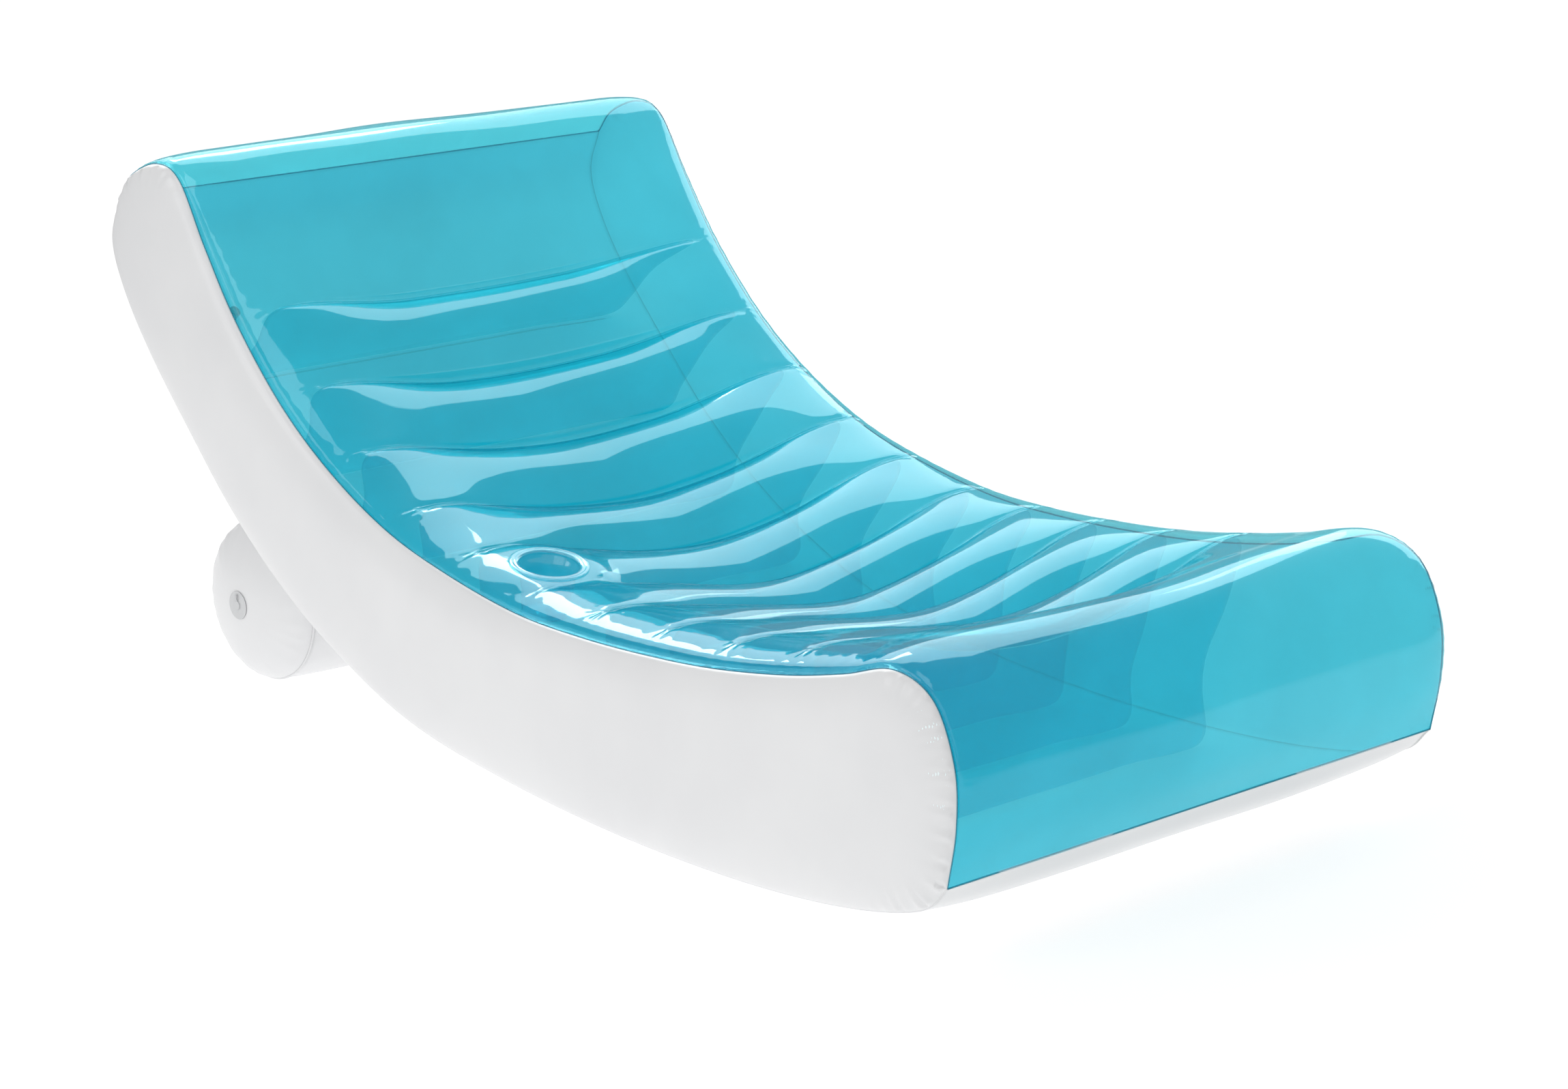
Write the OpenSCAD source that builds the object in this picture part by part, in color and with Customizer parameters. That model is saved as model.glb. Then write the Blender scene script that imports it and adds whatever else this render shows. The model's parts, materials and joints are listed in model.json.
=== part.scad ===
// Inflatable rocking pool lounge: a curved main air chamber with ten internal
// baffles, and a round support tube welded under its backrest.
// +X is across the lounge, +Y is towards the head, +Z is up. The origin is on
// the ground, in the middle of the lounge's outer box.

/* [Chamber] */
// Width between the two side seams
seam_width = 950; // [930:5:970]
// How far each side panel bulges past its seam
panel_bulge = 20; // [10:1:25]
// Thickness that the vinyl film is drawn with
film = 1; // [0.8:0.1:1.2]
// Length of each baffle weld across the top sheet
weld_length = 846; // [820:2:860]

/* [Support tube] */
// Radius of the tube at the middle of its length
tube_r = 132; // [128:1:132]
// Radius of the tube at its end seams
tube_seam_r = 124; // [118:1:126]
// Length of the tube between its end seams
tube_length = 784; // [700:2:800]
// How far each end cap bulges past its seam
cap_bulge = 52; // [40:1:60]

/* [Cup holder] */
// Radius of the cup's mouth inside
cup_mouth_r = 44; // [40:1:46]
// Radius of the cup's floor outside
cup_floor_r = 34; // [30:1:38]
// Depth of the cup
cup_depth = 76; // [60:1:80]
// Radius of the welding flange round the mouth
cup_flange_r = 57; // [52:1:60]

/* [Valves] */
// Radius of the valve's welded flange
valve_flange_r = 22; // [18:1:26]
// Radius of the stem's bore
stem_bore_r = 5; // [4.5:0.1:5.5]
// Gap between pieces that slide in each other
slide_gap = 0.1; // [0.05:0.01:0.1]

/* [Hidden] */
$fn = 64;
half = seam_width / 2;
sheet_half = half - film;
weld_end = weld_length / seam_width;

// Side seam of the top sheet, from the back of the head over the crest, down
// the backrest, along the seat and round the foot. Points 5 to 14 are welds.
TOP = [
    [915, 740], [880, 778], [810, 803], [752, 785], [690, 690],
    [615, 588], [508, 482], [390, 402], [255, 340], [115, 304],
    [-38, 280], [-173, 276], [-310, 281], [-450, 293], [-592, 316],
    [-700, 342], [-790, 368], [-860, 345], [-898, 270], [-903, 190],
    [-889, 107]
];
// Height over that seam of the side bolster and of the middle, at each point
BOLSTER = [0, 10, 12, 18, 30, 34, 34, 32, 30, 28, 28, 28, 28, 28, 28, 24, 20, 16, 22, 18, 0];
MIDDLE = [0, 22, 14, 22, 26, 20, 8, 0, -8, -16, -22, -24, -22, -20, -12, 6, 14, 22, 34, 28, 0];
// Side seam of the bottom sheet, from the back of the head down to the foot
BOTTOM = [
    [915, 740], [938, 671], [910, 595], [845, 505], [740, 393],
    [640, 295], [520, 204], [385, 130], [210, 64], [0, 31],
    [-250, 13], [-500, 14], [-700, 32], [-840, 65], [-889, 107]
];
// How far the bottom sheet bulges past that seam, at each point
BELLY = [0, 14, 18, 20, 20, 19, 19, 20, 18, 18, 14, 16, 18, 12, 0];
// Outward directions at the two cross seams, where the sheets meet
HEAD_SEAM_OUT = [0.86, 0.51];
FOOT_SEAM_OUT = [-0.87, -0.49];

first_weld = 5;
last_weld = 14;
weld_depth = 34;
head_run = 1.6;
foot_run = 0.9;
bolster_at = 0.8;
weld_fade_from = 0.3;
// Where each baffle is welded to the bottom sheet, head to foot
LOWER_WELD = [3.45, 4.8, 6.05, 7.2, 8, 8.8, 9.4, 9.95, 10.5, 11.1];
lower_weld_depth = 12;
weld_gap = 0.5;
// Places across the width, as fractions of half the width
ACROSS = [-1, -0.95, -0.87, -0.75, -0.5, -0.25, 0, 0.25, 0.5, 0.75, 0.87, 0.95, 1];
// Places along the top sheet, then along the bottom sheet with each one's weld depth
TOP_STEPS = [
    for (s = [0 : 0.5 : first_weld - 0.5]) s,
    for (weld = [first_weld : last_weld - 1], f = [0, 0.12, 0.5, 0.88]) weld + f,
    last_weld, last_weld + 0.2, last_weld + 0.5,
    for (s = [last_weld + 1 : 0.5 : len(TOP) - 1]) s
];
BOTTOM_STEPS = [
    for (s = [0 : 0.5 : 3]) [s, 0],
    for (i = [0 : 8], f = [0, 0.2, 0.5, 0.8])
        [LOWER_WELD[i] + f * (LOWER_WELD[i + 1] - LOWER_WELD[i]), arch(1 - 2 * f)],
    [LOWER_WELD[9], 1],
    for (s = [11.5 : 0.5 : len(BOTTOM) - 1]) [s, 0]
];
// Steps in from the seam where a side panel rises to its full bulge
PANEL_STEPS = [0, 8, 25, 50];
// Places along the top seam of a side panel, and the place on the bottom seam that faces each
PANEL_STATIONS = [for (s = [0 : 0.5 : len(TOP) - 1]) s];
FACING = [
    [0, 0], [2, 1], [3, 1.6], [4, 2.5], [5, 3.45], [6, 4.8], [7, 6.05], [8, 7.2], [9, 8],
    [10, 8.8], [11, 9.4], [12, 9.95], [13, 10.5], [14, 11.1], [15, 11.7], [16, 12.3],
    [18, 13.2], [20, 14]
];

tube_y = 685;
tube_z = tube_r;
patch_length = 560;
patch_width = 90;
patch_thick = 1.5;
patch_gap = 0.5;

cup_x = -365;
cup_y = 22;
cup_z = 318;
cup_tilt = 10;
cup_wall = 1.2;
cup_hole_gap = 0.5;

main_valve_x = -300;
main_valve_at = 2.6;
valve_lift = 0.9;
valve_depth = 16;
well_r = 8.1;
well_wall = 1.2;
lip = 1;
plug_head_r = 6.6;
plug_head = 1.6;
plug_reach = 7;
flap_thick = 0.6;
tether_width = 3.2;
tether_end = 17;

// ---- Curves ----
function ramp(q) = q <= 0 ? 0 : q >= 1 ? 1 : q * q * (3 - 2 * q);
function arch(q) = 1 - sqrt(max(0, 1 - q * q));
// The point before the first and after the last carries the end's slope on
function knot(list, i) =
    i < 0 ? 2 * list[0] - list[1]
    : i >= len(list) ? 2 * list[len(list) - 1] - list[len(list) - 2]
    : list[i];
// A smooth curve through the list's points, at place s counted in points
function spline(list, s) =
    let (
        i = max(0, min(floor(s), len(list) - 2)),
        f = s - i,
        a = knot(list, i - 1), b = list[i], c = list[i + 1], d = knot(list, i + 2)
    )
    0.5 * (2 * b + (c - a) * f + (2 * a - 5 * b + 4 * c - d) * f * f
        + (3 * b - a - 3 * c + d) * f * f * f);
// Direction at right angles to the curve, to the left of its run
function across_path(path, s) =
    let (d = spline(path, s + 0.02) - spline(path, s - 0.02)) [d[1], -d[0]] / norm(d);
function top_out(s) =
    s <= 0 ? HEAD_SEAM_OUT : s >= len(TOP) - 1 ? FOOT_SEAM_OUT : across_path(TOP, s);
function bottom_out(s) =
    s <= 0 ? HEAD_SEAM_OUT : s >= len(BOTTOM) - 1 ? FOOT_SEAM_OUT : -across_path(BOTTOM, s);

// ---- Sheets ----
// How far a baffle weld has pulled the top sheet in at place s: 1 on a weld
function pinch(s) =
    s < first_weld ? arch(max(0, 1 - (first_weld - s) / head_run))
    : s > last_weld ? arch(max(0, 1 - (s - last_weld) / foot_run))
    : arch(1 - 2 * (s - floor(s)));
// Height of the top sheet over its side seam, t being the fraction of half the width
function top_height(s, t) =
    let (
        r = spline(BOLSTER, s),
        m = spline(MIDDLE, s),
        fall = max(0, (t - bolster_at) / (1 - bolster_at)),
        weld = 1 - ramp((t - weld_fade_from) / (weld_end - weld_fade_from))
    )
    (m + (r - m) * ramp(t / bolster_at)) * sqrt(max(0, 1 - fall * fall))
        - weld_depth * weld * pinch(s);
function bottom_height(s, t, weld) =
    spline(BELLY, s) * (1 - pow(t, 6)) - lower_weld_depth * weld * (1 - ramp((t - 0.5) / 0.4));
// A point of each sheet, in from its outer face
function top_point(s, k, inward) =
    let (p = spline(TOP, s) + top_out(s) * (top_height(s, abs(k)) - inward))
    [k * sheet_half, p[0], p[1]];
function bottom_point(s, k, weld, inward) =
    let (p = spline(BOTTOM, s) + bottom_out(s) * bottom_height(s, abs(k), weld), n = bottom_out(s))
    [k * sheet_half, p[0] - n[0] * inward, max(0, p[1]) - n[1] * inward];

// A thin skin between two grids of points with the same rows and columns
module skin(outer, inner) {
    rows = len(outer);
    cols = len(outer[0]);
    side = rows * cols;
    function at(face, i, j) = face * side + i * cols + j;
    faces = [
        for (i = [0 : rows - 2], j = [0 : cols - 2]) each [
            [at(0, i, j), at(0, i, j + 1), at(0, i + 1, j + 1)],
            [at(0, i, j), at(0, i + 1, j + 1), at(0, i + 1, j)],
            [at(1, i, j), at(1, i + 1, j + 1), at(1, i, j + 1)],
            [at(1, i, j), at(1, i + 1, j), at(1, i + 1, j + 1)]
        ],
        for (i = [0 : rows - 2]) each [
            [at(0, i, 0), at(0, i + 1, 0), at(1, i + 1, 0)],
            [at(0, i, 0), at(1, i + 1, 0), at(1, i, 0)],
            [at(0, i, cols - 1), at(1, i + 1, cols - 1), at(0, i + 1, cols - 1)],
            [at(0, i, cols - 1), at(1, i, cols - 1), at(1, i + 1, cols - 1)]
        ],
        for (j = [0 : cols - 2]) each [
            [at(0, 0, j), at(1, 0, j + 1), at(0, 0, j + 1)],
            [at(0, 0, j), at(1, 0, j), at(1, 0, j + 1)],
            [at(0, rows - 1, j), at(0, rows - 1, j + 1), at(1, rows - 1, j + 1)],
            [at(0, rows - 1, j), at(1, rows - 1, j + 1), at(1, rows - 1, j)]
        ]
    ];
    polyhedron([for (grid = [outer, inner], row = grid, p = row) p], faces);
}

module top_sheet() {
    color("#3fb9cb", 0.7)
        difference() {
            skin(
                [for (s = TOP_STEPS) [for (k = ACROSS) top_point(s, k, 0)]],
                [for (s = TOP_STEPS) [for (k = ACROSS) top_point(s, k, film)]]
            );
            place_cup() translate([0, 0, -40]) cylinder(h = 80, r = cup_flange_r + cup_hole_gap);
        }
}

module bottom_sheet() {
    color("#eceef0")
        difference() {
            skin(
                [for (b = BOTTOM_STEPS) [for (k = ACROSS) bottom_point(b[0], -k, b[1], 0)]],
                [for (b = BOTTOM_STEPS) [for (k = ACROSS) bottom_point(b[0], -k, b[1], film)]]
            );
            place_main_valve() translate([0, 0, -10]) cylinder(h = 20, r = well_r + well_wall + 0.5);
        }
}

// ---- Side panels ----
// The panel's outline with its outward directions: along the top, then back along the bottom
function outline() = [
    for (s = PANEL_STATIONS) [spline(TOP, s), top_out(s)],
    for (i = [len(PANEL_STATIONS) - 2 : -1 : 1])
        let (s = lookup(PANEL_STATIONS[i], FACING)) [spline(BOTTOM, s), bottom_out(s)]
];
function panel_ring(inset, inward) =
    let (q = 1 - inset / PANEL_STEPS[3], x = half + panel_bulge * sqrt(1 - q * q) - inward)
    [for (o = outline()) let (p = o[0] - o[1] * inset) [x, p[0], p[1]]];

module side_panel() {
    rings = [for (d = PANEL_STEPS) panel_ring(d, 0), for (d = PANEL_STEPS) panel_ring(d, film)];
    n = len(rings[0]);
    last = len(PANEL_STEPS) - 1;
    function at(ring, i) = ring * n + (i + n) % n;
    faces = [
        for (ring = [0 : last - 1], i = [0 : n - 1]) each [
            [at(ring, i), at(ring + 1, i + 1), at(ring, i + 1)],
            [at(ring, i), at(ring + 1, i), at(ring + 1, i + 1)],
            [at(ring + last + 1, i), at(ring + last + 1, i + 1), at(ring + last + 2, i + 1)],
            [at(ring + last + 1, i), at(ring + last + 2, i + 1), at(ring + last + 2, i)]
        ],
        for (i = [0 : n - 1]) each [
            [at(0, i), at(0, i + 1), at(last + 1, i + 1)],
            [at(0, i), at(last + 1, i + 1), at(last + 1, i)]
        ],
        // The flat middle, as strips from the top to the facing point of the bottom
        for (i = [0 : n / 2 - 1]) each [
            if (i > 0) [at(last, i), at(last, -i), at(last, i + 1)],
            if (i < n / 2 - 1) [at(last, -i), at(last, -i - 1), at(last, i + 1)],
            if (i > 0) [at(2 * last + 1, i), at(2 * last + 1, i + 1), at(2 * last + 1, -i)],
            if (i < n / 2 - 1) [at(2 * last + 1, -i), at(2 * last + 1, i + 1), at(2 * last + 1, -i - 1)]
        ]
    ];
    color("#eceef0") polyhedron([for (ring = rings, p = ring) p], faces);
}

module side_panel_left() {
    side_panel();
}

module side_panel_right() {
    mirror([1, 0, 0]) side_panel();
}

// ---- Baffles ----
// A sheet from its weld on the top sheet down to its weld on the bottom sheet
module baffle(i) {
    upper = first_weld + i;
    lower = LOWER_WELD[i];
    gap = film + weld_gap;
    a = spline(TOP, upper);
    b = spline(BOTTOM, lower);
    side = [b[1] - a[1], a[0] - b[0]] / norm(b - a) * film / 2;
    ends = [for (k = ACROSS) if (abs(k) < weld_end) k];
    function row(v, shift) = [
        for (k = ends)
            let (p = top_point(upper, k, gap) * (1 - v) + bottom_point(lower, k, 1, gap) * v)
            [p[0], p[1] + side[0] * shift, p[2] + side[1] * shift]
    ];
    color("#5ac3d2", 0.7)
        skin(
            [for (v = [0, 0.15, 0.5, 0.85, 1]) row(v, 1)],
            [for (v = [0, 0.15, 0.5, 0.85, 1]) row(v, -1)]
        );
}

// ---- Cup holder ----
module place_cup() {
    translate([cup_x, cup_y, cup_z]) rotate([cup_tilt, 0, 0]) children();
}

module cup_holder_sleeve() {
    color("#9fb6e0", 0.7)
        place_cup()
            rotate_extrude()
                polygon([
                    [cup_mouth_r, 0], [cup_floor_r - cup_wall, -cup_depth + cup_wall],
                    [cup_floor_r - cup_wall, -cup_depth], [cup_floor_r, -cup_depth],
                    [cup_mouth_r + cup_wall, -cup_wall], [cup_flange_r, -cup_wall],
                    [cup_flange_r, 0]
                ]);
}

module cup_holder_floor() {
    color("#9fb6e0", 0.7)
        place_cup()
            translate([0, 0, -cup_depth]) cylinder(h = cup_wall, r = cup_floor_r - cup_wall - 0.05);
}

// ---- Support tube ----
// Turns a shape drawn along +Z to lie along the tube, facing the given side
module place_on_tube(side) {
    translate([0, tube_y, tube_z]) rotate([0, 90 * side, 0]) children();
}

module tube_wall() {
    end = tube_length / 2;
    outer = [for (f = [-1 : 0.2 : 1]) [tube_seam_r + (tube_r - tube_seam_r) * sqrt(1 - f * f), f * end]];
    inner = [for (i = [len(outer) - 1 : -1 : 0]) outer[i] - [film, 0]];
    color("#e6e8ea") place_on_tube(1) rotate_extrude() polygon(concat(outer, inner));
}

// A domed end, with a hole in its middle where a valve goes through
module tube_cap(side, hole_r) {
    first = hole_r > 0 ? asin(hole_r / tube_seam_r) : 0;
    outer = [
        for (i = [0 : 10])
            let (a = first + (90 - first) * i / 10) [tube_seam_r * sin(a), cap_bulge * cos(a)]
    ];
    inner = [for (i = [10 : -1 : 0]) [outer[i][0], outer[i][1] - film]];
    color("#e6e8ea")
        place_on_tube(side)
            translate([0, 0, tube_length / 2 + film]) rotate_extrude() polygon(concat(outer, inner));
}

module tube_cap_left() {
    tube_cap(1, 0);
}

module tube_cap_right() {
    tube_cap(-1, well_r + well_wall + 0.5);
}

// The reinforcing patch through which the tube is welded to the bottom sheet
module tube_mount_patch() {
    run = (patch_length - patch_width) / 2;
    color("#dfe2e4")
        translate([0, tube_y, tube_z])
            rotate([37, 0, 0])
                translate([0, 0, tube_r + patch_gap])
                    linear_extrude(patch_thick)
                        union() {
                            square([2 * run, patch_width], center = true);
                            for (side = [-1, 1]) translate([side * run, 0]) circle(d = patch_width);
                        }
}

// ---- Valves: drawn with the sheet's outer face at Z = 0 and out along +Z ----
module place_main_valve() {
    p = spline(BOTTOM, main_valve_at);
    n = bottom_out(main_valve_at);
    high = bottom_height(main_valve_at, abs(main_valve_x) / half, 0) + valve_lift;
    translate([main_valve_x, p[0] + n[0] * high, p[1] + n[1] * high])
        rotate([-atan2(n[0], n[1]), 0, 0])
            children();
}

module place_tube_valve() {
    place_on_tube(-1) translate([0, 0, tube_length / 2 + cap_bulge + film + 0.2]) children();
}

module ring(low, high, inner_r, outer_r) {
    translate([0, 0, low])
        difference() {
            cylinder(h = high - low, r = outer_r);
            translate([0, 0, -1]) cylinder(h = high - low + 2, r = inner_r);
        }
}

// Welded flange with the well that the stem presses into
module valve_base() {
    color("#dfe3e6") {
        ring(0, 0.8, well_r, valve_flange_r);
        ring(-valve_depth, 0, well_r, well_r + well_wall);
        ring(-valve_depth - lip, -valve_depth, well_r - 1.5, well_r + well_wall);
    }
}

module valve_stem() {
    color("#cfd6da") {
        ring(-valve_depth + 0.1, 0.8, stem_bore_r, well_r - slide_gap);
        ring(-valve_depth - 0.9, -valve_depth + 0.1, stem_bore_r - 1.2, well_r - 1.7);
    }
}

module valve_flap() {
    color("#c4dfe4")
        translate([0, 0, -valve_depth - 1 - flap_thick])
            cylinder(h = flap_thick, r = stem_bore_r - 0.2);
}

module valve_plug() {
    color("#b9c2c8") {
        translate([0, 0, 0.9]) cylinder(h = plug_head, r = plug_head_r);
        translate([0, 0, -plug_reach]) cylinder(h = plug_reach + 0.9, r = stem_bore_r - slide_gap);
    }
}

module valve_tether() {
    color("#b9c2c8")
        translate([0, 0, 0.95])
            difference() {
                union() {
                    translate([plug_head_r - 1, -tether_width / 2, 0])
                        cube([tether_end - plug_head_r + 1, tether_width, 0.8]);
                    translate([tether_end, 0, 0]) cylinder(h = 0.8, r = tether_width);
                }
                translate([0, 0, -1]) cylinder(h = 3, r = plug_head_r);
            }
}

top_sheet();
bottom_sheet();
side_panel_left();
side_panel_right();
baffle(0);  // baffle_01
baffle(1);  // baffle_02
baffle(2);  // baffle_03
baffle(3);  // baffle_04
baffle(4);  // baffle_05
baffle(5);  // baffle_06
baffle(6);  // baffle_07
baffle(7);  // baffle_08
baffle(8);  // baffle_09
baffle(9);  // baffle_10
cup_holder_sleeve();
cup_holder_floor();
tube_wall();
tube_cap_left();
tube_cap_right();
tube_mount_patch();
place_main_valve() valve_base();  // main_valve_base
place_main_valve() valve_stem();  // main_valve_stem
place_main_valve() valve_flap();  // main_valve_flap
place_main_valve() valve_plug();  // main_valve_plug
place_main_valve() valve_tether();  // main_valve_tether
place_tube_valve() valve_base();  // tube_valve_base
place_tube_valve() valve_stem();  // tube_valve_stem
place_tube_valve() valve_flap();  // tube_valve_flap
place_tube_valve() valve_plug();  // tube_valve_plug
place_tube_valve() valve_tether();  // tube_valve_tether
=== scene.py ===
import json
import math

import bpy
import numpy as np
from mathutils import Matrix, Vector


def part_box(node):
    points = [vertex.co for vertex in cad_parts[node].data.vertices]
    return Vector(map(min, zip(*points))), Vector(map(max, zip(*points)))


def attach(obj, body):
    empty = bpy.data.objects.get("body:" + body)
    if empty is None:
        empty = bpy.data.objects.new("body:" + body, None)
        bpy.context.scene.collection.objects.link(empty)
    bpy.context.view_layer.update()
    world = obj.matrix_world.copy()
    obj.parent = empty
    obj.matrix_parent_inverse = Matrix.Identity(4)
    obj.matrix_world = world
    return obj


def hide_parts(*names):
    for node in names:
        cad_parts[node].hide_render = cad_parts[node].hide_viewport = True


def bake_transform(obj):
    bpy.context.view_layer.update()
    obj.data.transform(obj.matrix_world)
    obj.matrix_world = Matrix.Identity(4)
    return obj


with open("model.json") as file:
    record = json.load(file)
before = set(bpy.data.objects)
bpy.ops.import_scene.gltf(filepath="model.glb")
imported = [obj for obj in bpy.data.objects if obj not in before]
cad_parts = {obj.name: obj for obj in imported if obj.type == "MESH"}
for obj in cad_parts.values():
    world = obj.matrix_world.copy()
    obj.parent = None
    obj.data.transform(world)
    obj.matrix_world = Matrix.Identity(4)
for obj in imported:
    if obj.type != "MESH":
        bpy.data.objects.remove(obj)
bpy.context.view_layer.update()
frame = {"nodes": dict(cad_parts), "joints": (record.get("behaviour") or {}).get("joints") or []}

# Looks of an inflatable rocking pool lounge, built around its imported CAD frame.
# The outlines repeat the design's own points, in millimetres, and every piece is made in metres.
MM = 0.001

# ---- The design's outlines, [Y, Z] in the row frame ----
TOP = [
    [915, 740], [880, 778], [810, 803], [752, 785], [690, 690],
    [615, 588], [508, 482], [390, 402], [255, 340], [115, 304],
    [-38, 280], [-173, 276], [-310, 281], [-450, 293], [-592, 316],
    [-700, 342], [-790, 368], [-860, 345], [-898, 270], [-903, 190],
    [-889, 107],
]
BOLSTER = [0, 10, 12, 18, 30, 34, 34, 32, 30, 28, 28, 28, 28, 28, 28, 24, 20, 16, 22, 18, 0]
MIDDLE = [0, 22, 14, 22, 26, 20, 8, 0, -8, -16, -22, -24, -22, -20, -12, 6, 14, 22, 34, 28, 0]
BOTTOM = [
    [915, 740], [938, 671], [910, 595], [845, 505], [740, 393],
    [640, 295], [520, 204], [385, 130], [210, 64], [0, 31],
    [-250, 13], [-500, 14], [-700, 32], [-840, 65], [-889, 107],
]
BELLY = [0, 14, 18, 20, 20, 19, 19, 20, 18, 18, 14, 16, 18, 12, 0]
LOWER_WELD = [3.45, 4.8, 6.05, 7.2, 8, 8.8, 9.4, 9.95, 10.5, 11.1]
# Places along the top seam, and the places on the bottom seam that face them
FACING_TOP = [0, 2, 3, 4, 5, 6, 7, 8, 9, 10, 11, 12, 13, 14, 15, 16, 18, 20]
FACING_BOTTOM = [
    0, 1, 1.6, 2.5, 3.45, 4.8, 6.05, 7.2, 8, 8.8, 9.4, 9.95, 10.5, 11.1, 11.7, 12.3, 13.2, 14,
]
HEAD_SEAM_OUT = (0.86, 0.51)
FOOT_SEAM_OUT = (-0.87, -0.49)

HALF = 475.0
PANEL_BULGE = 20.0
FIRST_WELD, LAST_WELD = 5, 14
WELD_END = 0.89
WELD_DEPTH = 34.0
# About how far one place is from the next along the top and the bottom sheet
TOP_STEP, BOTTOM_STEP = 130.0, 145.0
LOWER_WELD_DEPTH = 12.0
WELD_BAND = 5.5
FILM = 0.6

# The main valve's place on the bottom sheet, the hole for its well, and fine steps around it
VALVE_X, VALVE_PLACE, VALVE_HOLE_R = -300.0, 2.6, 9.8
ROUND_VALVE = np.arange(-14, 15, 2.0)

TUBE_CENTRE = (685.0, 132.0)
TUBE_R, TUBE_SEAM_R, TUBE_HALF, CAP_BULGE = 132.0, 124.0, 392.0, 52.0

CUP_AT = (-365.0, 22.0, 318.0)
CUP_TILT = math.radians(10)
CUP_MOUTH_R, CUP_FLOOR_R, CUP_DEPTH, CUP_FLANGE_R = 44.0, 33.0, 76.0, 57.0


# ---- Curves ----
def ramp(q):
    q = np.clip(q, 0, 1)
    return q * q * (3 - 2 * q)


def spline(points, s):
    """A smooth curve through the points, at places s counted in points."""
    points = np.asarray(points, float)
    s = np.asarray(s, float)
    before, after = 2 * points[:1] - points[1:2], 2 * points[-1:] - points[-2:-1]
    run = np.concatenate([before, points, after])
    i = np.clip(np.floor(s).astype(int), 0, len(points) - 2)
    f = s - i
    if points.ndim > 1:
        f = f[..., None]
    a, b, c, d = run[i], run[i + 1], run[i + 2], run[i + 3]
    return 0.5 * (
        2 * b + (c - a) * f + (2 * a - 5 * b + 4 * c - d) * f * f + (3 * b - a - 3 * c + d) * f**3
    )


def outward(points, s, side):
    """Unit direction out of the body at places s: side is 1 for the top sheet, -1 for the bottom."""
    last = len(points) - 1
    step = spline(points, s + 0.02) - spline(points, s - 0.02)
    n = side * np.stack([step[..., 1], -step[..., 0]], -1)
    n /= np.linalg.norm(n, axis=-1)[..., None]
    n = np.where((s <= 0)[..., None], HEAD_SEAM_OUT, n)
    return np.where((s >= last)[..., None], FOOT_SEAM_OUT, n)


def spacing(points, s):
    """Millimetres of outline per place, at places s."""
    return np.linalg.norm(spline(points, s + 0.5) - spline(points, s - 0.5), axis=-1)


def arc_length(line):
    return float(np.linalg.norm(np.diff(line, axis=0), axis=1).sum())


def outline_area(outline):
    """Area inside a closed flat outline."""
    x, y = outline.T
    return abs(float(np.dot(x, np.roll(y, -1)) - np.dot(y, np.roll(x, -1)))) / 2


# ---- Meshes ----
def make_object(name, points, faces):
    mesh = bpy.data.meshes.new(name)
    mesh.from_pydata([tuple(p) for p in points], [], faces)
    mesh.validate()
    mesh.shade_smooth()
    made = bpy.data.objects.new(name, mesh)
    bpy.context.scene.collection.objects.link(made)
    return made


def grid_normals(grid, wrap):
    """Unit normals of a grid of points, along rows x columns."""
    along = np.gradient(grid, axis=0)
    if wrap:
        across = (np.roll(grid, -1, 1) - np.roll(grid, 1, 1)) / 2
    else:
        across = np.gradient(grid, axis=1)
    n = np.cross(along, across)
    size = np.linalg.norm(n, axis=-1, keepdims=True)
    return n / np.maximum(size, 1e-9)


def shell(name, grid, thick=FILM, flip=False, wrap=False, keep=None, inside=None):
    """A thin closed film, in millimetres: one face is the grid and the other lies thick away from it,
    against the grid's normals, or along them with flip. keep holds which of the grid's quads to leave
    in, and inside is the second face's own material."""
    normals = grid_normals(grid, wrap) * (-1 if flip else 1)
    rows, cols = grid.shape[:2]
    layers = np.stack([grid, grid - normals * thick])
    quads = np.ones((rows - 1, cols if wrap else cols - 1), bool) if keep is None else keep
    faces = []
    size = rows * cols

    def at(layer, i, j):
        return layer * size + i * cols + j % cols

    for layer in (0, 1):
        for i, j in zip(*np.nonzero(quads)):
            quad = (at(0, i, j), at(0, i + 1, j), at(0, i + 1, j + 1), at(0, i, j + 1))
            quad = tuple(v + layer * size for v in quad)
            faces.append(quad[::-1] if bool(layer) != flip else quad)
    inner_from = len(faces) // 2
    faces += rims(quads, wrap, at, flip)
    points, faces = without_unused(layers.reshape(-1, 3) * MM, faces)
    made = make_object(name, points, faces)
    if inside:
        made.data.materials.append(None)
        made.data.materials.append(inside)
        for face in made.data.polygons[inner_from : 2 * inner_from]:
            face.material_index = 1
    return made


def rims(quads, wrap, at, flip):
    """The narrow faces that join the two layers along every free edge."""
    rows, cols = quads.shape
    made = []
    for i, j in zip(*np.nonzero(quads)):
        around = (
            (i > 0 and quads[i - 1, j], (i, j + 1), (i, j)),
            (i < rows - 1 and quads[i + 1, j], (i + 1, j), (i + 1, j + 1)),
            ((j > 0 or wrap) and quads[i, j - 1], (i, j), (i + 1, j)),
            ((j < cols - 1 or wrap) and quads[i, (j + 1) % cols], (i + 1, j + 1), (i, j + 1)),
        )
        for joined, a, b in around:
            if not joined:
                face = (at(0, *b), at(0, *a), at(1, *a), at(1, *b))
                made.append(face if not flip else face[::-1])
    return made


def without_unused(points, faces):
    used = np.unique(np.concatenate([np.array(f) for f in faces]))
    new = np.full(len(points), -1)
    new[used] = np.arange(len(used))
    return points[used], [tuple(int(new[v]) for v in f) for f in faces]


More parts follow.
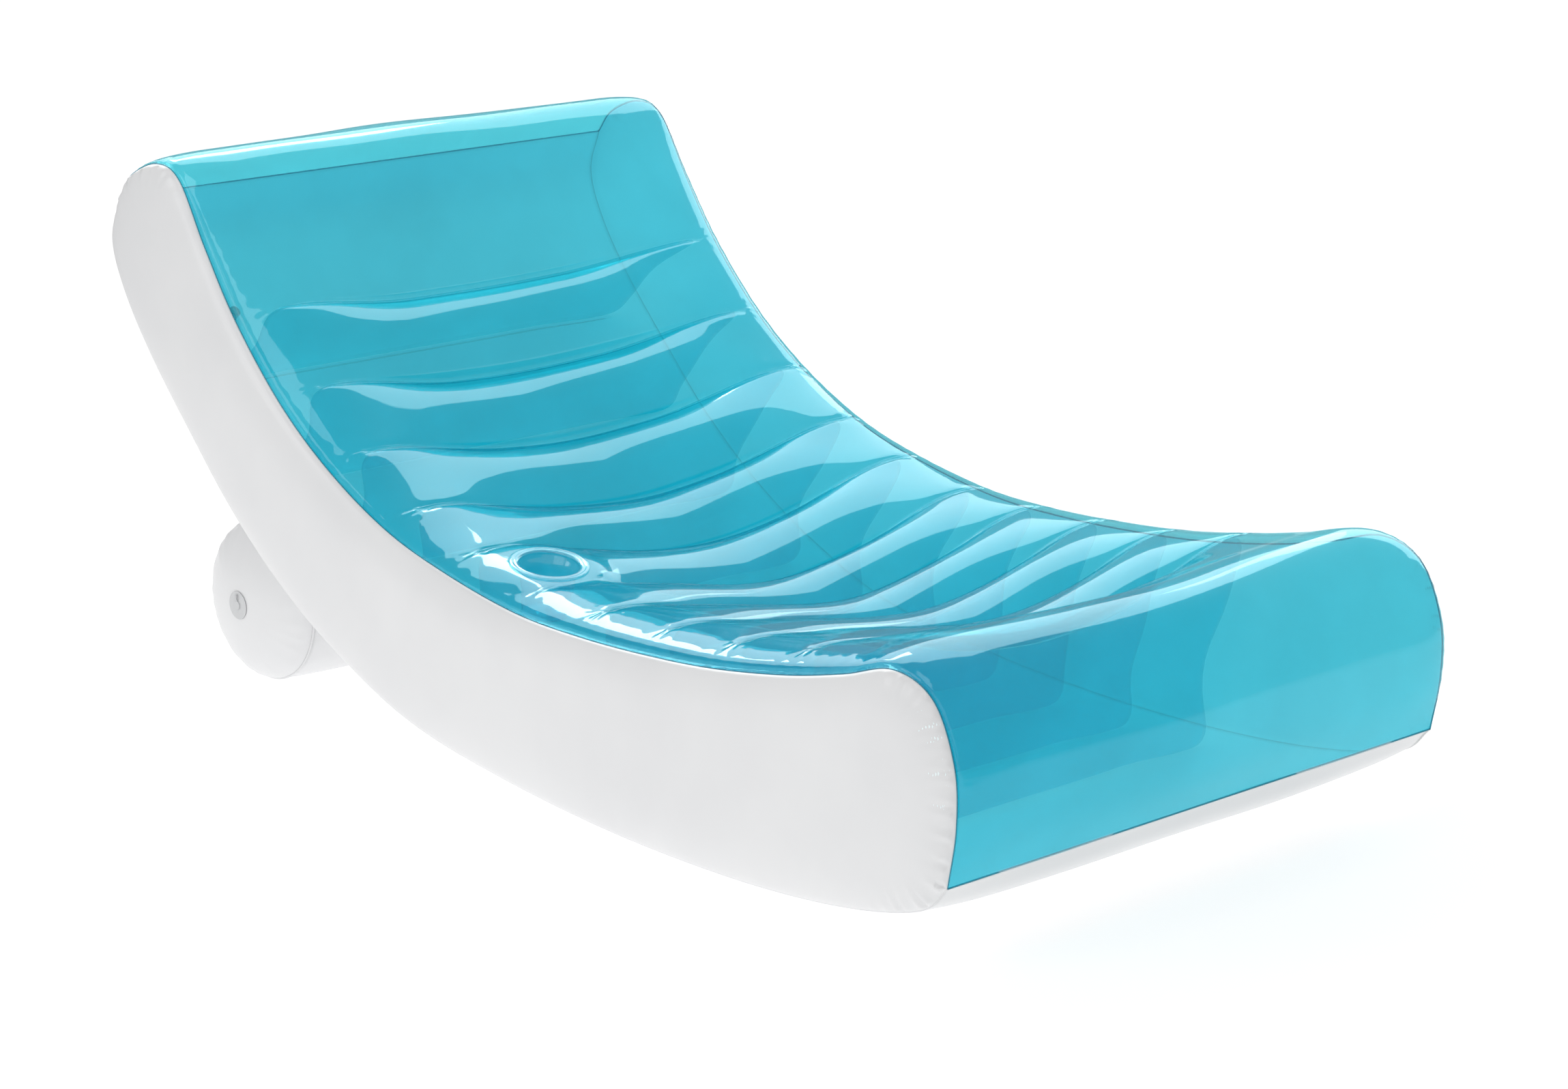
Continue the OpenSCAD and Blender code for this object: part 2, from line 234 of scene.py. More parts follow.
def tube_along(name, path, side_a, side_b, radius, closed=False, sides=8):
    """A round bead along a path: side_a and side_b are the two directions across it at each point."""
    turn = np.linspace(0, 2 * math.pi, sides, endpoint=False)
    ring = radius * (
        side_a[:, None] * np.cos(turn)[None, :, None] + side_b[:, None] * np.sin(turn)[None, :, None]
    )
    points = (path[:, None] + ring).reshape(-1, 3) * MM
    count = len(path)
    faces = []
    for i in range(count if closed else count - 1):
        for j in range(sides):
            a, b = i * sides + j, i * sides + (j + 1) % sides
            c, d = (i + 1) % count * sides + j, (i + 1) % count * sides + (j + 1) % sides
            faces.append((a, b, d, c))
    if not closed:
        faces.append(tuple(range(sides))[::-1])
        faces.append(tuple((count - 1) * sides + j for j in range(sides)))
    return make_object(name, points, faces)


# ---- The main chamber's sheets ----
def waves(a, b, seed):
    """A soft, irregular ripple from -1 to 1 over two coordinates in millimetres."""
    total = 0
    for n, (length, turn) in enumerate([(460, 0.3), (330, 1.2), (240, 2.2)]):
        run = a * math.cos(turn + seed) + b * math.sin(turn + seed)
        total = total + np.sin(2 * math.pi * run / length + 1.7 * n + seed) / (1 + 0.4 * n)
    return total / 2.3


def pinch(s):
    """How far a baffle weld has pulled the top sheet in at place s: 1 on a weld, 0 in mid puff."""
    nearest = np.clip(np.round(s), FIRST_WELD, LAST_WELD)
    off = np.abs(s - nearest) * spacing(TOP, nearest)
    half_run = 0.5 * spacing(TOP, np.clip(np.floor(s), FIRST_WELD, LAST_WELD - 1) + 0.5)
    half_run = np.where(s < FIRST_WELD, 1.6 * TOP_STEP, half_run)
    half_run = np.where(s > LAST_WELD, 0.9 * TOP_STEP, half_run)
    q = 1 - np.clip((off - WELD_BAND) / (half_run - WELD_BAND), 0, 1)
    return 1 - (0.5 * np.sqrt(1 - q * q) + 0.5 * (1 - q * q)), off


def top_height(s, t, k):
    rise, middle = spline(BOLSTER, s), spline(MIDDLE, s)
    fall = np.clip((t - 0.8) / 0.2, 0, 1)
    pull, off = pinch(s)
    fade = 1 - ramp((t - 0.3) / (WELD_END - 0.3))
    high = (middle + (rise - middle) * ramp(t / 0.8)) * np.sqrt(1 - fall * fall)
    high = high - WELD_DEPTH * fade * pull
    # The pressed weld itself: a shallow groove with fine ridges, to its rounded end
    end = ramp((WELD_END * HALF + 4 - t * HALF) / 12)
    high = high - 3.2 * end * np.exp(-((off / 8) ** 2)) * (1 - 0.5 * fade)
    high = high + 0.42 * end * np.cos(2 * math.pi * off / 3.4) * ramp((WELD_BAND + 1 - off) / 1.5)
    # Gathers that run out from each weld's end and from the side seams
    from_end = np.hypot(off, (t - WELD_END) * HALF)
    angle = np.arctan2(off, (t - WELD_END) * HALF + 1e-6)
    high = high + 0.45 * np.cos(9 * angle) * np.exp(-((from_end - 14) ** 2) / 260)
    along = s * TOP_STEP
    seam = np.exp(-(1 - t) * HALF / 16) * ramp((1 - t) * HALF / 5)
    return high + 0.5 * seam * np.sin(2 * math.pi * along / 31 + 2 * np.sin(along / 90) + k)


def cup_local(points):
    """Points in the cup's own frame: its axis is local Z and its mouth is at Z = 0."""
    c, s = math.cos(CUP_TILT), math.sin(CUP_TILT)
    p = points - np.array(CUP_AT)
    return np.stack([p[..., 0], c * p[..., 1] + s * p[..., 2], c * p[..., 2] - s * p[..., 1]], -1)


def cup_world(local):
    c, s = math.cos(CUP_TILT), math.sin(CUP_TILT)
    back = [local[..., 0], c * local[..., 1] - s * local[..., 2], c * local[..., 2] + s * local[..., 1]]
    return np.stack(back, -1) + np.array(CUP_AT)


def weld_rows():
    """Places along the top sheet, close together at each weld."""
    near = np.array([0, 0.85, 1.7, 2.55, 3.4, 4.25, 5.1, 6, 7.2, 9, 11.5, 15, 20, 26, 33, 41, 50])
    rows = list(np.linspace(0, FIRST_WELD - 0.45, 64))
    rows += list(FIRST_WELD - near[::-1] / TOP_STEP)
    for weld in range(FIRST_WELD, LAST_WELD):
        gap = float(spacing(TOP, np.array(weld + 0.5)))
        rows += list(weld + near[1:] / gap)
        rows.append(weld + 0.5)
        rows += list(weld + 1 - near[::-1] / gap)
    rows += list(LAST_WELD + near[1:] / 115)
    rows += list(np.linspace(LAST_WELD + 0.5, len(TOP) - 1, 76))
    return np.unique(np.round(rows, 5))


def columns(count):
    """Places across the width, closer together towards the side seams."""
    u = np.linspace(-1, 1, count)
    return 0.72 * u + 0.28 * np.sin(u * math.pi / 2)


def top_grid(s, k):
    s, k = np.meshgrid(s, k, indexing="ij")
    seam, out = spline(TOP, s), outward(TOP, s, 1)
    high = top_height(s, np.abs(k), k)
    high = high + 1.6 * waves(k * HALF, s * TOP_STEP, 0.4) * (1 - np.abs(k) ** 8)
    flat = seam + out * high[..., None]
    return np.stack([k * HALF, flat[..., 0], flat[..., 1]], -1)


def settle_round_cup(grid):
    """Draws the sheet to the cup's flange, and its cut edge to a clean circle."""
    local = cup_local(grid)
    r = np.hypot(local[..., 0], local[..., 1])
    near = (r < 110) & (np.abs(local[..., 2]) < 90)
    w = np.where(near, 1 - ramp((r - 58) / 46), 0)
    local[..., 2] = local[..., 2] * (1 - w) + (-1.6) * w
    inside = near & (r < CUP_MOUTH_R + 2)
    push = np.where(inside, (CUP_MOUTH_R + 2) / np.maximum(r, 1), 1)
    local[..., 0] *= push
    local[..., 1] *= push
    return cup_world(local), inside


def make_top_sheet():
    s, k = weld_rows(), columns(121)
    grid, inside = settle_round_cup(top_grid(s, k))
    gone = inside[:-1, :-1] & inside[1:, :-1] & inside[:-1, 1:] & inside[1:, 1:]
    made = shell("clear_top_sheet", grid, keep=~gone, flip=True)
    length = arc_length(grid[:, len(k) // 2 + 30])
    width = arc_length(grid[len(s) // 2])
    return made, (round(width * MM, 2), round(length * MM, 2))


def bottom_height(s, t):
    weld_at = np.array(LOWER_WELD)
    off = np.min(np.abs(s[..., None] - weld_at), -1) * BOTTOM_STEP
    in_run = ramp((s - 2.6) / 0.8) * (1 - ramp((s - 11.3) / 0.8))
    dip = np.exp(-off / 26) * in_run
    fade = 1 - ramp((t - 0.5) / 0.4)
    high = spline(BELLY, s) * (1 - t**6) - LOWER_WELD_DEPTH * dip * fade
    end = ramp((0.87 - t) / 0.03)
    ridges = 0.4 * np.cos(2 * math.pi * off / 3.6) * ramp((WELD_BAND + 1 - off) / 1.5)
    return high + end * (ridges - 1.5 * np.exp(-((off / 7) ** 2)))


def bottom_rows():
    rows = list(np.linspace(0, len(BOTTOM) - 1, 150))
    for at in LOWER_WELD:
        rows += [at + d / BOTTOM_STEP for d in (-8, -5.4, -3.6, -1.8, 0, 1.8, 3.6, 5.4, 8)]
    rows += list(VALVE_PLACE + ROUND_VALVE / spacing(BOTTOM, VALVE_PLACE))
    return np.unique(np.round(rows, 4))


def bottom_columns():
    return np.unique(np.round(np.append(columns(81), (VALVE_X + ROUND_VALVE) / HALF), 5))


def settle_round_valve(grid):
    """Opens the sheet where the main valve's well goes through, with a clean round edge."""
    origin, _, out = valve_frame("main")
    axis = np.array(out)
    off = grid - np.array(origin) / MM
    near = np.linalg.norm(off, axis=-1) < 40
    off = off - (off @ axis)[..., None] * axis
    r = np.linalg.norm(off, axis=-1)
    inside = near & (r < VALVE_HOLE_R)
    push = np.where(inside, VALVE_HOLE_R / np.maximum(r, 0.5) - 1, 0)
    return grid + off * push[..., None], inside


def bottom_grid(s, k):
    s, k = np.meshgrid(s, k, indexing="ij")
    seam, out = spline(BOTTOM, s), outward(BOTTOM, s, -1)
    t = np.abs(k)
    high = bottom_height(s, t) + 1.2 * waves(k * HALF, s * 140, 1.9) * (1 - t**8)
    flat = seam + out * high[..., None]
    return np.stack([k * HALF, flat[..., 0], np.maximum(flat[..., 1], 0.2)], -1)


def make_bottom_sheet():
    s, k = bottom_rows(), bottom_columns()
    grid, inside = settle_round_valve(bottom_grid(s, k))
    gone = inside[:-1, :-1] & inside[1:, :-1] & inside[:-1, 1:] & inside[1:, 1:]
    # The inner face takes the vinyl copy with painted light: a lighter colour and a teal glow
    made = shell("white_bottom_sheet", grid, keep=~gone, flip=True, inside=INNER_VINYL_PAINTED_LIGHT)
    length = arc_length(grid[:, np.argmin(np.abs(k))])
    return made, (round(arc_length(grid[len(s) // 2]) * MM, 2), round(length * MM, 2))


# ---- Side panels ----
def distance_to(points, line):
    """Distance of each point from a polyline, and the length along it to the nearest place."""
    a, b = line[:-1], line[1:]
    run = b - a
    size = np.linalg.norm(run, axis=1)
    start = np.concatenate([[0], np.cumsum(size)])[:-1]
    best = np.full(points.shape[:-1], 1e9)
    where = np.zeros(points.shape[:-1])
    for p, d, n, s in zip(a, run, size, start):
        f = np.clip(((points - p) @ d) / max(n * n, 1e-9), 0, 1)
        off = np.linalg.norm(points - (p + f[..., None] * d), axis=-1)
        where = np.where(off < best, s + f * n, where)
        best = np.minimum(best, off)
    return best, where


def panel_outline():
    """The flat outline a side panel is cut to, down the top seam and back up the bottom seam."""
    steps = np.linspace(0, 1, 200)
    top_line = spline(TOP, steps * (len(TOP) - 1))
    low_line = spline(BOTTOM, steps[::-1] * (len(BOTTOM) - 1))
    return np.concatenate([top_line, low_line[1:]])


def panel_grid():
    s = np.linspace(0, len(TOP) - 1, 301)[:, None]
    w = (1 - np.cos(np.linspace(0, 1, 49) * math.pi))[None, :] / 2
    upper = spline(TOP, s)
    lower = spline(BOTTOM, np.interp(s, FACING_TOP, FACING_BOTTOM))
    flat = upper + (lower - upper) * w[..., None]
    off, along = distance_to(flat, panel_outline())
    q = 1 - np.clip(off / 78, 0, 1)
    bulge = PANEL_BULGE * np.sqrt(1 - q**2.3)
    # Gathers where the outline turns, at the foot and round the head
    foot = np.where(flat[..., 0] < -730, 1, 0) * ramp((-730 - flat[..., 0]) / 90)
    head = ramp((flat[..., 1] - 690) / 90)
    gather = np.exp(-off / 21) * ramp(off / 4)
    fold = np.sin(2 * math.pi * along / 24 + 1.6 * np.sin(along / 47))
    fold = fold + 0.5 * np.sin(2 * math.pi * along / 15.5 + 0.8)
    bulge = bulge + 2.1 * gather * fold * np.maximum(foot, 0.7 * head)
    bulge = bulge + 0.9 * waves(flat[..., 0], flat[..., 1], 2.7) * ramp(off / 40)
    return np.stack([HALF + bulge, flat[..., 0], flat[..., 1]], -1)


def make_side_panel(name, side):
    grid = panel_grid()
    grid[..., 0] *= side
    # The inner face takes the vinyl copy with painted light: a lighter colour and a teal glow
    made = shell(name, grid, flip=side < 0, inside=INNER_VINYL_PAINTED_LIGHT)
    across = spline(TOP, FACING_TOP) - spline(BOTTOM, FACING_BOTTOM)
    width = np.linalg.norm(across, axis=-1).max()
    length = arc_length(spline(TOP, np.linspace(0, len(TOP) - 1, 200)))
    cut = outline_area(panel_outline()) * MM * MM
    return made, (round(float(width) * MM, 2), round(length * MM, 2)), cut


# ---- Baffles ----
def make_baffle(i):
    """A film from its weld on the top sheet down to its weld on the bottom sheet."""
    cols = np.linspace(-1, 1, 61)
    v = (1 - np.cos(np.linspace(0, 1, 21) * math.pi)) / 2
    place = float(FIRST_WELD + i)
    upper = top_grid(np.array([place]), WELD_END * cols)[0]
    lower = bottom_grid(np.array([LOWER_WELD[i]]), WELD_END * cols)[0]
    inset = np.array([0, *outward(TOP, np.array(place), 1)]) * (FILM + 1.2)
    upper, lower = upper - inset, lower + np.array([0, 0, FILM + 1.2])
    deep = np.linalg.norm(upper[30] - lower[30])
    from_edge = np.minimum(v, 1 - v) * deep
    rounding = 26 * (1 - np.sqrt(1 - (1 - np.clip(from_edge / 26, 0, 1)) ** 2))
    waist = 34 * np.sin(v * math.pi) ** 1.5
    narrow = 1 - (rounding + waist)[:, None] / (WELD_END * HALF) * np.abs(cols)[None, :] ** 3
    grid = upper[None] * (1 - v)[:, None, None] + lower[None] * v[:, None, None]
    grid[..., 0] *= narrow
    billow = np.sin(v * math.pi)[:, None] * waves(grid[..., 0], grid[..., 2] * 2, i * 1.3)
    edge = np.sin(v * math.pi)[:, None] * np.abs(cols)[None, :] ** 6
    grid[..., 1] += 3.5 * billow + 9 * edge * np.sin(v * 7 + i)[:, None]
    name = f"clear_baffle_{i + 1:02d}"
    made = shell(name, grid, thick=0.5)
    return made, (round(arc_length(grid[0]) * MM, 2), round(arc_length(grid[:, 30]) * MM, 2))


# ---- Seams ----
def side_seam(name, outline, x, side):
    s = np.linspace(0, len(outline) - 1, 260)
    flat, out = spline(outline, s), outward(outline, s, side)
    path = np.stack([np.full(len(s), x), flat[:, 0], flat[:, 1]], -1)
    across = np.stack([np.zeros(len(s)), out[:, 0], out[:, 1]], -1)
    return tube_along(name, path, across * 1.3, np.tile([math.copysign(0.8, x), 0, 0], (len(s), 1)), 1)


def cross_seam(name, at):
    x = np.linspace(-HALF, HALF, 121)
    path = np.stack([x, np.full(121, at[0]), np.full(121, at[1])], -1)
    up, over = np.tile([0, 1.2, 0], (121, 1)), np.tile([0, 0, 1.2], (121, 1))
    return tube_along(name, path, up, over, 1)


# ---- Cup holder ----
def revolve(name, profile, count, place, thick=1.0, flip=False):
    """A film turned round local Z from a profile of (radius, height), then placed."""
    turn = np.linspace(0, 2 * math.pi, count, endpoint=False)
    r, z = np.array(profile, float).T
    grid = np.stack(
        [
            r[:, None] * np.cos(turn),
            r[:, None] * np.sin(turn),
            np.repeat(z[:, None], count, 1),
        ],
        -1,
    )
    return shell(name, place(grid), thick=thick, wrap=True, flip=flip)


def make_cup():
    flange = [(CUP_FLANGE_R - 6 * i / 5, 0.9 * math.sin(i * math.pi / 5)) for i in range(6)]
    lip = [
        (CUP_MOUTH_R + 5 - 5 * math.sin(a), -2.2 + 2.9 * math.cos(a) * (1 if a < 1.6 else 0.6))
        for a in np.linspace(0, 2.0, 9)
    ]
    wall = []
    for f in np.linspace(0.06, 1, 26):
        slack = 1.3 * math.sin(f * 19) * math.exp(-f * 1.6)
        r = CUP_MOUTH_R - (CUP_MOUTH_R - CUP_FLOOR_R) * f**0.9 - 1.6 * math.sin(f * math.pi) + slack
        wall.append((r, -CUP_DEPTH * f))
    sleeve = revolve("clear_cup_sleeve", flange + lip + wall, 96, cup_world, flip=False)
    rounds = [(CUP_FLOOR_R - 0.4, -CUP_DEPTH + 1.2)]
    for f in np.linspace(0.05, 0.98, 12):
        dish = -2.6 * math.sin(f * math.pi) - 1.0 * math.cos(f * 10)
        rounds.append(((CUP_FLOOR_R - 0.6) * (1 - f), -CUP_DEPTH + 1.6 + dish * 0.5))
    floor = revolve("clear_cup_floor", rounds, 72, cup_world, flip=False)
    return sleeve, floor


# ---- Support tube ----
def tube_place(grid):
    """Local Z runs along +X, about the tube's centre line."""
    back = [grid[..., 2], TUBE_CENTRE[0] + grid[..., 1], TUBE_CENTRE[1] - grid[..., 0]]
    return np.stack(back, -1)


def make_tube_wall():
    turn = np.linspace(0, 2 * math.pi, 144, endpoint=False)[None, :]
    f = np.linspace(-1, 1, 97)[:, None]
    r = TUBE_SEAM_R + (TUBE_R - 0.4 - TUBE_SEAM_R) * np.sqrt(1 - np.abs(f) ** 3)
    gather = np.exp(-(1 - np.abs(f)) * TUBE_HALF / 24) * ramp((1 - np.abs(f)) * TUBE_HALF / 4)
    r = r + 0.8 * gather * np.sin(turn * 26 + 3 * np.sin(turn * 3)) - 0.8 * gather
    grid = np.stack([r * np.cos(turn), r * np.sin(turn), f * TUBE_HALF + 0 * turn], -1)
    placed = tube_place(grid)
    placed[..., 2] = np.maximum(placed[..., 2], 0.2)
    made = shell("white_tube_wall", placed, wrap=True, flip=True)
    return made, (round(2 * math.pi * TUBE_R * MM, 2), round(2 * TUBE_HALF * MM, 2))


def make_tube_cap(name, side, hole_r):
    turn = np.linspace(0, 2 * math.pi, 144, endpoint=False)[None, :]
    start = math.asin(max(hole_r, 0.8) / TUBE_SEAM_R)
    a = np.linspace(math.pi / 2, start, 45)[:, None]
    edge = (TUBE_SEAM_R * (1 - np.sin(a))) / 20
    gather = np.exp(-edge) * ramp(edge * 4)
    high = CAP_BULGE * np.cos(a) + 1.3 * gather * np.sin(turn * 24 + 2 * np.sin(turn * 5))
    radius = TUBE_SEAM_R * np.sin(a) + 0 * turn
    grid = np.stack([radius * np.cos(turn), radius * np.sin(turn), side * (TUBE_HALF + 1 + high)], -1)
    made = shell(name, tube_place(grid), wrap=True, flip=side > 0)
    across = round(2.3 * TUBE_SEAM_R * MM, 2)
    return made, (across, across)


def tube_seam(name, side):
    turn = np.linspace(0, 2 * math.pi, 144, endpoint=False)
    ring = np.stack([np.cos(turn), np.sin(turn), 0 * turn], -1)
    centre = np.array([0, 0, side * (TUBE_HALF + 0.5)])
    path = tube_place(ring * (TUBE_SEAM_R + 0.6) + centre)
    out = tube_place(ring) - tube_place(0 * ring)
    along = np.tile([1.0, 0, 0], (len(turn), 1))
    return tube_along(name, path, out * 2.2, along * 1.4, 1, closed=True)


def make_patch():
    """The stadium-shaped patch, curved with the tube, with its pressed weld line."""
    u = np.linspace(-1, 1, 121)[:, None]
    v = np.linspace(-1, 1, 25)[None, :]
    x = u * 280
    reach = 45 * np.sqrt(1 - np.clip((np.abs(x) - 235) / 45, 0, 1) ** 2 * 0.9999)
    y = v * reach
    angle = math.radians(37) + y / (TUBE_R + 2)
    inset = np.minimum(reach - np.abs(y), 280 - np.abs(x) + 0 * v)
    lift = 1.0 - 0.5 * np.exp(-(((inset - 9) / 1.6) ** 2))
    r = TUBE_R + 0.6 + lift
    back = [x + 0 * v, TUBE_CENTRE[0] - r * np.sin(angle), TUBE_CENTRE[1] + r * np.cos(angle)]
    return shell("white_tube_patch", np.stack(back, -1), thick=0.8, flip=True)


# ---- Valves ----
def valve_frame(kind):
    """Origin and two axes (side, out) of a valve, from its CAD base."""
    if kind == "tube":
        low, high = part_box("tube_valve_base")
        centre = (low + high) / 2
        return Vector((low.x + 0.0008, centre.y, centre.z)), Vector((0, 0, 1)), Vector((-1, 0, 0))
    body = next(j for j in frame["joints"] if j["name"] == "main_stem_slide")
    out = Vector(body["axis"]).normalized()
    low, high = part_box("main_valve_plug")
    head = (low + high) / 2 + out * 0.0042
    return head - out * 0.0018, Vector((1, 0, 0)), out


def make_tether(kind):
    """The strap that ties the plug to the stem: out from the stem, round a loop, back to the plug."""
    origin, side, out = valve_frame(kind)
    over = out.cross(side)
    run = [(6.6, 0.95), (9, 1.0), (12, 1.05), (15, 1.3), (16.8, 2.0), (17.2, 2.9)]
    run += [(16.4, 3.7), (14.2, 4.1), (11, 3.8), (8.4, 2.9), (6.5, 2.1), (5.6, 1.9)]
    line = spline(run, np.linspace(0, len(run) - 1, 45))
    slope = np.gradient(line, axis=0)
    slope /= np.linalg.norm(slope, axis=1)[:, None]
    rows = []
    for (r, z), (dr, dz) in zip(line, slope):
        n = (-dz * 0.35, dr * 0.35)
        corners = [(-1.5, 1), (1.5, 1), (1.5, -1), (-1.5, -1)]
        rows.append([(w, r + n[0] * h, z + n[1] * h) for w, h in corners])
    points = [
        tuple(origin + (over * w + side * r + out * z) * MM) for row in rows for w, r, z in row
    ]
    faces = []
    for i in range(len(rows) - 1):
        for j in range(4):
            a, b = i * 4 + j, i * 4 + (j + 1) % 4
            faces.append((a, b, b + 4, a + 4))
    last = (len(rows) - 1) * 4
    faces += [(3, 2, 1, 0), (last, last + 1, last + 2, last + 3)]
    made = make_object(f"{kind}_plug_tether", points, faces)
    start, end = origin + out * 1.0 * MM, origin + out * 2.6 * MM
    return made, tuple(start), tuple(end)


# ---- Materials ----
def new_material(name):
    material = bpy.data.materials.new(name)
    material.use_nodes = True
    material.node_tree.nodes.clear()
    return material, material.node_tree


def noise(tree, scale, detail=3.0):
    place = tree.nodes.new("ShaderNodeTexCoord")
    made = tree.nodes.new("ShaderNodeTexNoise")
    made.inputs["Scale"].default_value = scale
    made.inputs["Detail"].default_value = detail
    tree.links.new(place.outputs["Object"], made.inputs["Vector"])
    return made


def tone(tree, source, low, high, at_low=0.35, at_high=0.65):
    """Two colours, blended by a noise."""
    made = tree.nodes.new("ShaderNodeValToRGB")
    made.color_ramp.elements[0].position = at_low
    made.color_ramp.elements[1].position = at_high
    made.color_ramp.elements[0].color = (*low, 1)
    made.color_ramp.elements[1].color = (*high, 1)
    tree.links.new(source.outputs["Fac"], made.inputs["Fac"])
    return made


def bump(tree, layers):
    """Bumps stacked on each other: (noise scale, strength, distance in metres)."""
    before = None
    for scale, strength, distance in layers:
        source = noise(tree, scale)
        made = tree.nodes.new("ShaderNodeBump")
        made.inputs["Strength"].default_value = strength
        made.inputs["Distance"].default_value = distance
        tree.links.new(source.outputs["Fac"], made.inputs["Height"])
        if before:
            tree.links.new(before.outputs["Normal"], made.inputs["Normal"])
        before = made
    return before


def reflectance(tree, head_on):
    """How much a face of the film mirrors: head_on seen square, rising by GLANCE_GLOSS more at a glance."""
    facing = tree.nodes.new("ShaderNodeLayerWeight")
    facing.inputs["Blend"].default_value = 0.5
    power, strength = tree.nodes.new("ShaderNodeMath"), tree.nodes.new("ShaderNodeMath")
    power.operation = "POWER"
    power.inputs[1].default_value = 5
    strength.operation = "MULTIPLY_ADD"
    strength.use_clamp = True
    strength.inputs[1].default_value = GLANCE_GLOSS
    strength.inputs[2].default_value = head_on
    tree.links.new(facing.outputs["Facing"], power.inputs[0])
    tree.links.new(power.outputs[0], strength.inputs[0])
    return strength


def film_material(name, tint, body, share, gloss, rough=0.035):
    """A clear vinyl film: it tints what is behind it and reflects the lights.
    tint is for one face of the film, body the vinyl's own colour and share how much of it shows."""
    material, tree = new_material(name)
    add = tree.nodes.new
    through, gleam, own = (
        add("ShaderNodeBsdfTransparent"), add("ShaderNodeBsdfGlossy"), add("ShaderNodeBsdfPrincipled"),
    )
    cloud = tone(tree, noise(tree, 7), [c * 0.985 for c in tint], [min(1, c * 1.01) for c in tint])
    tree.links.new(cloud.outputs["Color"], through.inputs["Color"])
    gleam.inputs["Roughness"].default_value = rough
    own.inputs["Base Color"].default_value = (*body, 1)
    own.inputs["Roughness"].default_value = 0.3
    surface = bump(tree, [(9, 0.12, 0.002), (160, 0.04, 0.0004)])
    tree.links.new(surface.outputs["Normal"], gleam.inputs["Normal"])
    tree.links.new(surface.outputs["Normal"], own.inputs["Normal"])
    inner, outer = add("ShaderNodeMixShader"), add("ShaderNodeMixShader")
    inner.inputs["Fac"].default_value = share
    tree.links.new(through.outputs[0], inner.inputs[1])
    tree.links.new(own.outputs[0], inner.inputs[2])
    tree.links.new(reflectance(tree, gloss).outputs[0], outer.inputs["Fac"])
    tree.links.new(inner.outputs[0], outer.inputs[1])
    tree.links.new(gleam.outputs[0], outer.inputs[2])
    output = add("ShaderNodeOutputMaterial")
    tree.links.new(outer.outputs[0], output.inputs["Surface"])
    return material


def vinyl_material(name, low, high, rough=0.34, grain=0.08, glow=0.0):
    """An opaque vinyl with a faint mottle and a fine satin grain. glow is painted light: how much
    blue-green light the vinyl gives off though it is no lamp, in place of what the teal film scatters
    inside the chamber."""
    material, tree = new_material(name)
    skin = tree.nodes.new("ShaderNodeBsdfPrincipled")
    mottle = tone(tree, noise(tree, 5), low, high)
    tree.links.new(mottle.outputs["Color"], skin.inputs["Base Color"])
    skin.inputs["Roughness"].default_value = rough
    skin.inputs["Coat Weight"].default_value = 0.25
    skin.inputs["Coat Roughness"].default_value = 0.2
    # Painted light: a teal emission from vinyl that is no lamp
    if glow:
        skin.inputs["Emission Color"].default_value = (0.22, 0.85, 1, 1)
        skin.inputs["Emission Strength"].default_value = glow
    surface = bump(tree, [(6, 0.15, 0.003), (420, grain, 0.0003)])
    tree.links.new(surface.outputs["Normal"], skin.inputs["Normal"])
    output = tree.nodes.new("ShaderNodeOutputMaterial")
    tree.links.new(skin.outputs[0], output.inputs["Surface"])
    return material


GLANCE_GLOSS = 0.3
TEAL_FILM = film_material("teal_film", (0.55, 0.915, 0.95), (0.0, 0.55, 0.7), 0.07, 0.045)
BAFFLE_FILM = film_material("baffle_film", (0.5, 0.94, 0.97), (0.0, 0.5, 0.65), 0.04, 0.025)
CUP_FILM = film_material("cup_film", (0.74, 0.96, 0.99), (0.3, 0.75, 0.88), 0.15, 0.06)
SEAM_VINYL = film_material("seam_film", (0.35, 0.72, 0.8), (0.01, 0.3, 0.4), 0.35, 0.05)
WHITE_VINYL = vinyl_material("white_vinyl", (0.79, 0.795, 0.805), (0.82, 0.825, 0.832))
# Painted light: the inside faces are a lighter copy of the white vinyl with a teal glow, making up for the
# light the teal film keeps from the chamber's inside
INNER_VINYL_PAINTED_LIGHT = vinyl_material("white_vinyl_inside_painted_light", (0.93, 0.95, 0.955), (0.95, 0.965, 0.97), 0.5, glow=0.16)
VALVE_VINYL = vinyl_material("valve_vinyl", (0.6, 0.61, 0.62), (0.66, 0.67, 0.68), 0.4, 0.05)


def dress(piece, material, replaces=()):
    if piece.data.materials:
        piece.data.materials[0] = material
    else:
        piece.data.materials.append(material)
    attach(piece, "root")
    if replaces:
        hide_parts(*replaces)
    return piece


# ---- Building ----
def build_chamber():
    top, top_flat = make_top_sheet()
    dress(top, TEAL_FILM, replaces=["top_sheet"])
    bottom, bottom_flat = make_bottom_sheet()
    dress(bottom, WHITE_VINYL, replaces=["bottom_sheet"])
    for name, side in (("left", 1), ("right", -1)):
        panel, flat, area = make_side_panel(f"white_panel_{name}", side)
        dress(panel, WHITE_VINYL, replaces=[f"side_panel_{name}"])
    for i in range(len(LOWER_WELD)):
        baffle, flat = make_baffle(i)
        dress(baffle, BAFFLE_FILM, replaces=[f"baffle_{i + 1:02d}"])


def build_seams():
    for name, x in (("left", HALF + 0.5), ("right", -HALF - 0.5)):
        top = side_seam(f"top_seam_{name}", TOP, x, 1)
        dress(top, SEAM_VINYL)
        low = side_seam(f"bottom_seam_{name}", BOTTOM, x, -1)
        dress(low, WHITE_VINYL)
    dress(cross_seam("head_seam", TOP[0]), SEAM_VINYL)
    dress(cross_seam("foot_seam", TOP[-1]), SEAM_VINYL)


